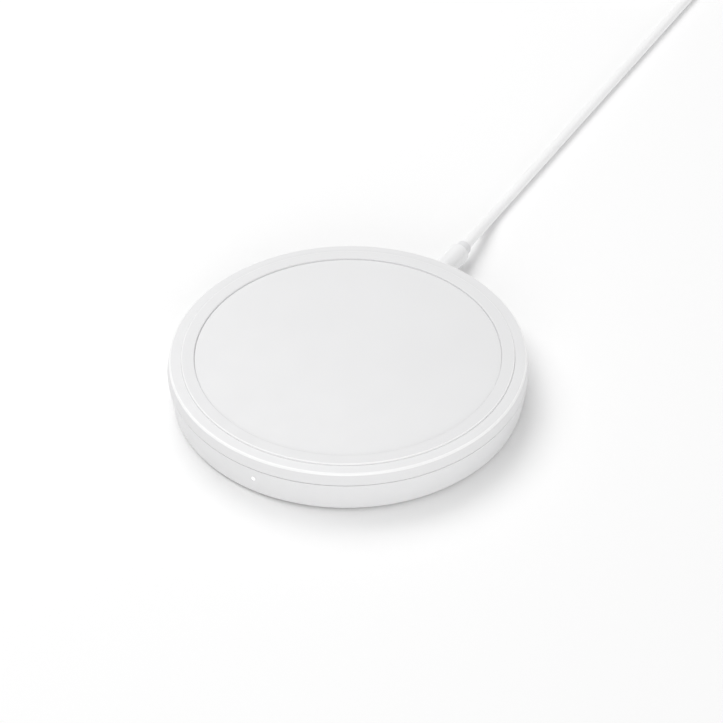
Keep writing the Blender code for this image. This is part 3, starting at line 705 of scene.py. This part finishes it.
def make_plug():
    """The barrel plug: its boot, cut to the pad's leaning wall, strain relief and metal sleeve."""
    recess = BOOT_FRONT + 2.1
    boot = outline(
        [
            (0, recess, 0),
            (PLUG_RADIUS + 0.05, recess, 0),
            (PLUG_RADIUS + 0.05, BOOT_FRONT, 0),
            (BOOT_RADIUS, BOOT_FRONT, 0.25),
            (BOOT_RADIUS, BOOT_REAR, 0.35),
            (0, BOOT_REAR, 0),
        ]
    )
    boot_piece = piece(
        "v_plug_boot",
        along_y(lathe(boot, 96)),
        "boot_white",
        "lead",
        ["plug_boot"],
    )
    wall = [
        (0, SEAM_HEIGHT),
        (SEAM_RADIUS + SEAT, SEAM_HEIGHT - SEAM_GAP / 2),
        (BASE_RADIUS + SEAT, FLOOR_BOTTOM),
        (0, FLOOR_BOTTOM),
    ]
    carve(boot_piece, [lathe(wall)])  # the wall leans out over the boot's flat front
    collar_front = BOOT_REAR + 0.6
    collar = outline(
        [
            (0, collar_front, 0),
            (COLLAR_RADIUS, collar_front, 0.2),
            (COLLAR_RADIUS, COLLAR_REAR - 0.5, 0.45),
            (CORD_RADIUS + 0.2, COLLAR_REAR, 0.12),
            (0, COLLAR_REAR, 0),
        ]
    )
    collar_piece = piece(
        "v_strain_relief",
        along_y(lathe(collar, 96)),
        "relief_white",
        "lead",
        ["strain_relief"],
    )
    sleeve_tip, sleeve_end = PLUG_TIP + 0.5, BOOT_FRONT + 2.0
    sleeve = outline(
        [
            (PLUG_RADIUS, sleeve_tip, 0.1),
            (PLUG_RADIUS, sleeve_end, 0),
            (SLEEVE_BORE, sleeve_end, 0),
            (SLEEVE_BORE, sleeve_tip, 0),
        ],
        hold=0.02,
    )
    sleeve_piece = piece(
        "v_plug_sleeve",
        along_y(lathe(sleeve, closed=True, steps=FINE_STEPS)),
        "nickel",
        "lead",
        ["plug_sleeve"],
    )
    return [boot_piece, collar_piece, sleeve_piece]


def smooth_route(points, spacing):
    """Points about a spacing apart on the smooth curve through the given ones."""
    points = [Vector(point) for point in points]
    ends = [points[0] * 2 - points[1], *points, points[-1] * 2 - points[-2]]
    fine = []
    for a, b, c, d in zip(ends, ends[1:], ends[2:], ends[3:]):
        count = max(1, round((c - b).length / spacing))
        for i in range(count):
            t = i / count
            slope_b, slope_c = (c - a) / 2, (d - b) / 2
            fine.append(
                b * (2 * t**3 - 3 * t**2 + 1)
                + slope_b * (t**3 - 2 * t**2 + t)
                + c * (3 * t**2 - 2 * t**3)
                + slope_c * (t**3 - t**2)
            )
    fine.append(points[-1])
    return fine


def eased(value):
    value = min(1.0, max(0.0, value))
    return value * value * (3 - 2 * value)


def coil_point(turned):
    """The coil's centreline after it has turned by that many degrees."""
    if turned < CLIMB_START:
        radius, height = LAYER_OUTER - TURN_PITCH * turned / 360, LOWER_LAYER
    else:
        climb = eased((turned - CLIMB_START) / (CLIMB_END - CLIMB_START))
        height = LOWER_LAYER + (UPPER_LAYER - LOWER_LAYER) * climb
        radius = LAYER_INNER + TURN_PITCH * max(0.0, turned - CLIMB_END) / 360
    away = abs((turned - TIE_ANGLE + 180) % 360 - 180) / 360 * math.tau * radius
    height += TIE_LIFT * (1 - eased((away - 3.5) / 11))
    angle = math.radians(turned)
    x = COIL_CENTRE[0] + radius * math.cos(angle)
    y = COIL_CENTRE[1] + radius * math.sin(angle)
    return Vector((x, y, height))


def cord_line():
    """The whole cord's centreline, in millimetres."""
    straight = smooth_route([*ROUTE_TO_COIL, coil_point(0)], 2.5)
    coil = [coil_point(angle) for angle in range(8, COIL_END, 8)]
    leaving = [tuple(coil[-1]), *DOWN_FROM_COIL, *ROUTE_TO_USB]
    tail = smooth_route([tuple(coil[-2]), *leaving], 2.0)
    return straight + coil[:-2] + tail


def make_cord():
    line = cord_line()
    curve = bpy.data.curves.new("v_lead_cord", "CURVE")
    curve.dimensions = "3D"
    curve.bevel_depth = CORD_RADIUS * MM
    curve.bevel_resolution = 8
    curve.use_fill_caps = True
    spline = curve.splines.new("POLY")
    spline.points.add(len(line) - 1)
    for spot, place in zip(spline.points, line):
        spot.co = (*(place * MM), 1.0)
    curve.materials.append(LOOKS["cord_white"])
    cord = bpy.data.objects.new("v_lead_cord", curve)
    bpy.context.scene.collection.objects.link(cord)
    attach(cord, "lead")
    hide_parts("lead_cord", "lead_coil", "lead_tail")


def rounded_box(width, height, corner, count=8):
    """Points round a rectangle with rounded corners, as (across, up)."""
    points = []
    for quarter, (sx, sy) in enumerate(((1, 1), (-1, 1), (-1, -1), (1, -1))):
        cx, cy = sx * (width / 2 - corner), sy * (height / 2 - corner)
        for i in range(count + 1):
            angle = math.radians(90 * (quarter + i / count))
            points.append((cx + corner * math.cos(angle), cy + corner * math.sin(angle)))
    return points


def loft(sections, closed=False):
    """A bmesh through rings of points in millimetres, capped unless it closes on itself."""
    bm = bmesh.new()
    rings = [[bm.verts.new(Vector(p) * MM) for p in ring] for ring in sections]
    pairs = list(zip(rings, rings[1:]))
    if closed:
        pairs.append((rings[-1], rings[0]))
    else:
        bm.faces.new(rings[0])
        bm.faces.new(rings[-1])
    for first, second in pairs:
        for i in range(len(first)):
            j = (i + 1) % len(first)
            bm.faces.new((first[i], first[j], second[j], second[i]))
    bmesh.ops.recalc_face_normals(bm, faces=bm.faces)
    return bm


def make_tie():
    """A hook-and-loop strap round both layers of the coil, its end lapped over on top."""
    thickness, width, corner = 0.7, 7.0, 1.85
    middle, inside_width, inside_height = 17.35, 13.6, 6.1
    ring = rounded_box(inside_width + thickness, inside_height + thickness, corner, 10)
    top = (inside_height + thickness) / 2
    lap_start, lap_end, ramp, lift = 2.2, -4.4, 2.4, thickness + 0.03
    quarter = len(ring) // 4
    path = [(lap_start, top), *ring[quarter:], *ring[:quarter]]
    for i in range(1, 9):
        path.append((lap_start + ramp * (1 - i / 8), top + lift * eased(i / 8)))
    path += [(lap_start + (lap_end - lap_start) * i / 6, top + lift) for i in range(1, 7)]
    radians = math.radians(TIE_ANGLE)
    outward = Vector((math.cos(radians), math.sin(radians), 0))
    sideways = Vector((-math.sin(radians), math.cos(radians), 0))
    origin = Vector((*COIL_CENTRE, thickness + inside_height / 2)) + outward * middle
    section = rounded_box(thickness, width, 0.22, 4)
    rings = []
    for i, (across, up) in enumerate(path):
        before, after = path[max(0, i - 1)], path[min(len(path) - 1, i + 1)]
        run = Vector((after[0] - before[0], after[1] - before[1])).normalized()
        rings.append(
            [
                origin
                + outward * (across + run.y * depth)
                + sideways * wide
                + Vector((0, 0, up - run.x * depth))
                for depth, wide in section
            ]
        )
    return piece("v_cord_tie", loft(rings), "tie_grey", "lead", ["cord_tie"])


def make_usb_plug():
    """The USB plug: strain relief, moulded grip, folded metal shell, tongue and contacts."""
    relief = outline(
        [
            (0, -USB_RELIEF_REAR, 0),
            (CORD_RADIUS + 0.45, -USB_RELIEF_REAR, 0.3),
            (3.3, 0.2 - USB_GRIP_REAR, 0),
            (0, 0.2 - USB_GRIP_REAR, 0),
        ]
    )
    relief_bm = along_minus_y(lathe(relief, FINE_STEPS), USB_X, USB_AXIS_HEIGHT)
    relief_piece = piece(
        "v_usb_strain_relief", relief_bm, "cord_white", "lead", ["usb_strain_relief"]
    )
    grip = piece("v_usb_grip", loft(usb_grip_rings()), "cord_white", "lead", ["usb_grip"])
    return [relief_piece, grip, make_usb_shell(), *make_usb_tongue()]


def usb_grip_rings():
    """Rings along the grip, front to rear: rounded ends, a slight waist and a narrower rear."""
    length, fillet = USB_GRIP_REAR - USB_GRIP_FRONT, 1.3
    rounding = [fillet * (1 - math.cos(math.radians(angle))) for angle in range(0, 91, 10)]
    stations = list(rounding)
    stations += [fillet + (length - 2 * fillet) * i / 12 for i in range(1, 12)]
    stations += [length - station for station in reversed(rounding)]
    rings = []
    for station in stations:
        edge = min(station, length - station)
        inset = fillet - math.sqrt(max(0.0, fillet**2 - max(0.0, fillet - edge) ** 2))
        taper = 0.55 * eased((station - length * 0.35) / (length * 0.6))
        waist = 0.28 * eased((station - 4) / 4) * eased((length - 3 - station) / 4)
        half_width = USB_GRIP_WIDTH / 2 - inset - taper
        half_height = USB_AXIS_HEIGHT - inset - waist
        corner = min(half_width, half_height) * 0.55
        ring = rounded_box(2 * half_width, 2 * half_height, corner, 10)
        rings.append([(USB_X + x, USB_GRIP_FRONT + station, USB_AXIS_HEIGHT + z) for x, z in ring])
    return rings


def block(size, centre, bevel=0.0, segments=3, upright_only=False):
    """A bmesh box; bevel rounds all its edges, or only the upright ones."""
    bm = bmesh.new()
    bmesh.ops.create_cube(bm, size=1.0)
    bmesh.ops.scale(bm, vec=Vector(size) * MM, verts=bm.verts)
    if bevel:
        edges = [
            edge
            for edge in bm.edges
            if not upright_only or abs(edge.verts[0].co.z - edge.verts[1].co.z) > 1e-6
        ]
        bmesh.ops.bevel(
            bm, geom=edges, offset=bevel * MM, segments=segments, profile=0.5, affect="EDGES"
        )
    bmesh.ops.translate(bm, vec=Vector(centre) * MM, verts=bm.verts)
    return bm


def make_usb_shell():
    """The folded sheet-metal shell: a flared mouth, two latch windows and the fold's seam."""
    mouth = USB_GRIP_FRONT - 0.3 - USB_SHELL_LENGTH
    rear = USB_GRIP_FRONT + 0.5
    lead_in = 0.06
    rings = []
    for y, inset, corner in (
        (mouth, lead_in, 0.54),
        (mouth + lead_in, 0, 0.6),
        (rear, 0, 0.6),
        (rear, USB_SHELL_WALL, 0.3),
        (mouth + lead_in, USB_SHELL_WALL, 0.3),
        (mouth, USB_SHELL_WALL - lead_in, 0.36),
    ):
        width, height = USB_SHELL_WIDTH - 2 * inset, USB_SHELL_HEIGHT - 2 * inset
        ring = rounded_box(width, height, corner, 6)
        rings.append([(USB_X + x, y, USB_AXIS_HEIGHT + z) for x, z in ring])
    shell = piece("v_usb_shell", loft(rings, True), "nickel", "lead", ["usb_shell"])
    middle = mouth + USB_SHELL_LENGTH / 2
    windows = [
        block((2.4, 2.2, 10), (USB_X + x, middle + 0.6, USB_AXIS_HEIGHT), 0.25, 4, True)
        for x in (-2.6, 2.6)
    ]
    underside = USB_AXIS_HEIGHT - USB_SHELL_HEIGHT / 2
    seam = block((0.09, 2 * USB_SHELL_LENGTH, 0.24), (USB_X, middle, underside))
    carve(shell, [*windows, seam])
    return shell


def make_usb_tongue():
    """The plastic tongue inside the shell and the four contacts on it."""
    front = USB_GRIP_FRONT - 0.3 - USB_SHELL_LENGTH
    length, height = USB_SHELL_LENGTH - 0.6, 1.7
    width = USB_SHELL_WIDTH - 2 * USB_SHELL_WALL - 0.4
    middle = front + USB_SHELL_LENGTH / 2
    bottom = USB_AXIS_HEIGHT - USB_SHELL_HEIGHT / 2 + USB_SHELL_WALL + 0.15
    tongue = block((width, length, height), (USB_X, middle, bottom + height / 2), 0.18)
    made = [piece("v_usb_tongue", tongue, "cord_white", "lead", ["usb_tongue"])]
    contacts = ((-3.5, 8.6), (-1.0, 7.6), (1.0, 7.6), (3.5, 8.6))
    for number, (x, long) in enumerate(contacts, 1):
        centre = (USB_X + x, middle + (length - long) / 2, bottom + height + 0.1)
        strip = block((1.1, long, 0.3), centre, 0.08)
        name = f"usb_contact_{number}"
        made.append(piece("v_" + name, strip, "gold", "lead", [name]))
    return made


# ---------------------------------------------------------------- surroundings


def make_floor():
    bm = bmesh.new()
    bmesh.ops.create_grid(bm, x_segments=1, y_segments=1, size=FLOOR_SIDE / 2)
    mesh = to_mesh("floor", bm)
    material = bpy.data.materials.new("floor")
    material.use_nodes = True
    shader = material.node_tree.nodes["Principled BSDF"]
    shader.inputs["Base Color"].default_value = (0.97, 0.97, 0.97, 1)
    shader.inputs["Roughness"].default_value = 0.9
    shader.inputs["Specular IOR Level"].default_value = 0.1
    mesh.materials.append(material)
    floor = bpy.data.objects.new("floor", mesh)
    floor.location.z = -FLOOR_DROP * MM
    bpy.context.scene.collection.objects.link(floor)


def area_light(name, place, size, power, long_axis=None, height=None):
    """A lamp that faces the pad: a disc, or a strip whose length lies along an axis."""
    data = bpy.data.lights.new(name, "AREA")
    data.shape = "DISK" if long_axis is None else "RECTANGLE"
    data.size = size
    data.energy = power
    place = Vector(place)
    back = place.normalized()
    if long_axis is None:
        turn = back.to_track_quat("Z", "Y").to_matrix()
    else:
        data.size_y = height
        across = Vector(long_axis)
        across = (across - back * across.dot(back)).normalized()
        turn = Matrix((across, back.cross(across), back)).transposed()
    light = bpy.data.objects.new(name, data)
    light.matrix_world = Matrix.Translation(place) @ turn.to_4x4()
    bpy.context.scene.collection.objects.link(light)


def make_light():
    world = bpy.data.worlds.new("studio")
    world.use_nodes = True
    background = world.node_tree.nodes["Background"]
    background.inputs["Color"].default_value = (1, 1, 1, 1)
    background.inputs["Strength"].default_value = WORLD_STRENGTH
    bpy.context.scene.world = world
    area_light("rear_key", (-0.45, 0.40, 0.85), 0.7, 3.8)
    area_light("strip", (-0.405, -0.135, 0.792), 0.8, 2.0, (0.75, -0.25, 0.37), 0.15)
    area_light("front_fill", (0.42, -0.86, 0.27), 0.6, 3.1)
    area_light("right_fill", (0.9, 0.25, 0.30), 0.7, 1.2)
    bpy.context.scene.view_settings.view_transform = "Standard"


def main():
    make_camera()
    make_bottom_shell()
    make_top_shell()
    make_rings()
    make_light_pipe()
    plug_pieces = make_plug()
    usb_pieces = make_usb_plug()
    tie = make_tie()
    make_cord()
    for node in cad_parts.values():
        for entry in node.material_slots:
            if entry.material.name in LOOKS:
                entry.material = LOOKS[entry.material.name]
    make_floor()
    make_light()


LOOKS = make_looks()
main()
